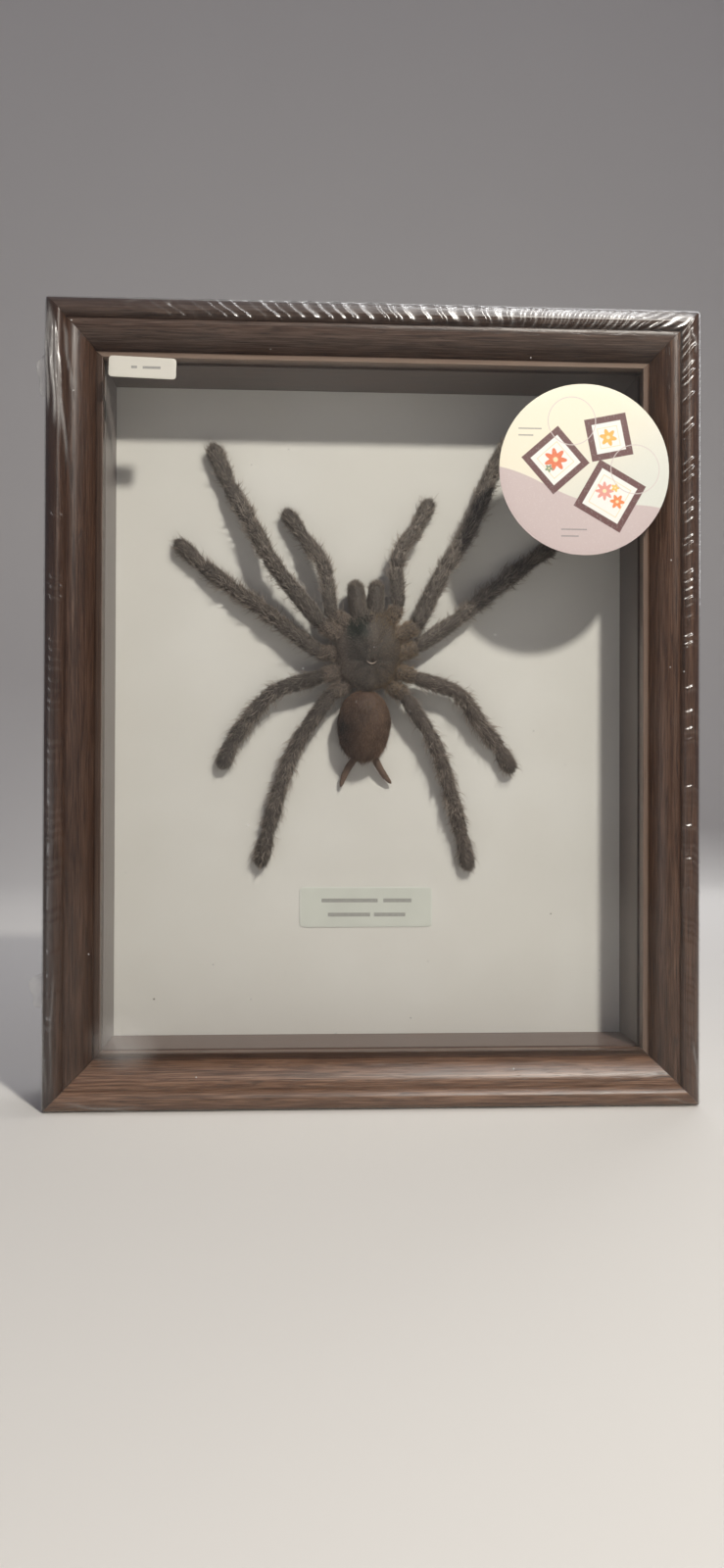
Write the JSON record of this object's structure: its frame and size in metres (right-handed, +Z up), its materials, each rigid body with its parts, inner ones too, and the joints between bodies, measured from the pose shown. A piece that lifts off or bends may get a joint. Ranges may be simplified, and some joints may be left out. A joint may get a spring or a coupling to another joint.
{
  "type": "framed tarantula specimen",
  "caption": "Preserved tarantula laid out on a white board in a deep glazed picture frame with a walnut finish, wrapped in clear shrink film with two stickers.",
  "frame": {"origin": "centre of the bottom of the wrapped frame's bounding box, where it stands", "axes": "+Z up the frame's height, +X to the right seen from the front, -Y out of the glazed front"},
  "size_m": [0.2362, 0.0476, 0.2891],
  "materials": {
    "walnut_foil": "dark walnut printed foil on wood, semi-gloss, worn along the bead",
    "glass": "clear float glass",
    "white_card": "warm white mount board, matt",
    "hardboard": "brown hardboard",
    "tab_steel": "zinc-plated thin steel",
    "clear_film": "clear shrink film, glossy and crinkled",
    "sticker_paper": "off-white label paper, bare",
    "sticker_print": null,
    "label_paper": "cream label, slightly see-through, with two plain rules",
    "spider_dark": "dry dark cuticle under short brown-black hair",
    "spider_brown": "dry reddish-brown cuticle under fine hair"
  },
  "bodies": {
    "root": {"rail_top": "walnut_foil", "rail_right": "walnut_foil", "rail_bottom": "walnut_foil", "rail_left": "walnut_foil", "spacer_top": "walnut_foil", "spacer_right": "walnut_foil", "spacer_bottom": "walnut_foil", "spacer_left": "walnut_foil", "glass_pane": "glass", "mount_board": "white_card", "back_panel": "hardboard", "tab_top_1": "tab_steel", "tab_top_2": "tab_steel", "tab_right_1": "tab_steel", "tab_right_2": "tab_steel", "tab_bottom_1": "tab_steel", "tab_bottom_2": "tab_steel", "tab_left_1": "tab_steel", "tab_left_2": "tab_steel", "hanger": "tab_steel", "shrink_film": "clear_film", "price_sticker": "sticker_paper", "round_sticker": "sticker_print", "specimen_label": "label_paper", "cephalothorax": "spider_dark", "abdomen": "spider_brown", "chelicera_left": "spider_dark", "chelicera_right": "spider_dark", "spinneret_left": "spider_brown", "spinneret_right": "spider_brown", "pedipalp_left": "spider_dark", "pedipalp_right": "spider_dark", "leg_left_1": "spider_dark", "leg_left_2": "spider_dark", "leg_left_3": "spider_dark", "leg_left_4": "spider_dark", "leg_right_1": "spider_dark", "leg_right_2": "spider_dark", "leg_right_3": "spider_dark", "leg_right_4": "spider_dark"}
  },
  "joints": []
}
